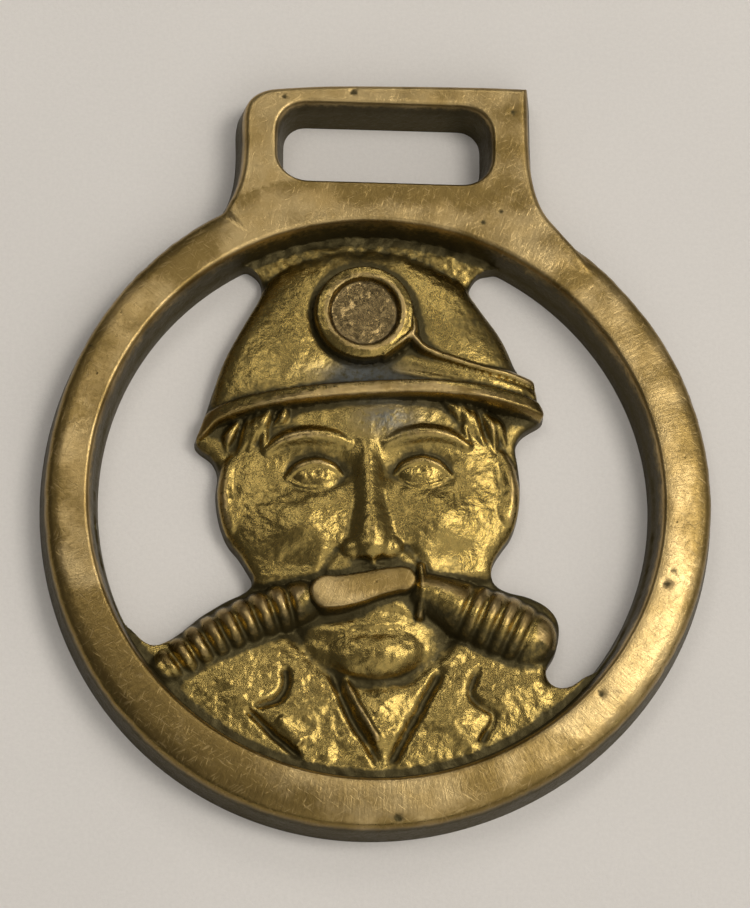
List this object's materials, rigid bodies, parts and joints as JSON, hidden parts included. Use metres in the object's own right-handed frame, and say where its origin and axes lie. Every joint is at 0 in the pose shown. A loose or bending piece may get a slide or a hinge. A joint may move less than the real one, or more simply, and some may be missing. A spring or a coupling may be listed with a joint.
{
  "type": "horse brass",
  "caption": "Cast horse brass: a flat ring around the relief bust of a mine rescue worker in helmet, cap lamp and breathing tubes, with a strap hanger on top.",
  "frame": {"origin": "centre of the ring on the flat back", "axes": "+X to the right of the bust as it is looked at, +Y up to the strap hanger, +Z out of the front face; the brass lies on its back"},
  "size_m": [0.078, 0.0907, 0.006],
  "materials": {
    "brass": "worn satin, polished high points and dark recesses"
  },
  "bodies": {
    "root": {"horse_brass": "brass"}
  },
  "joints": []
}
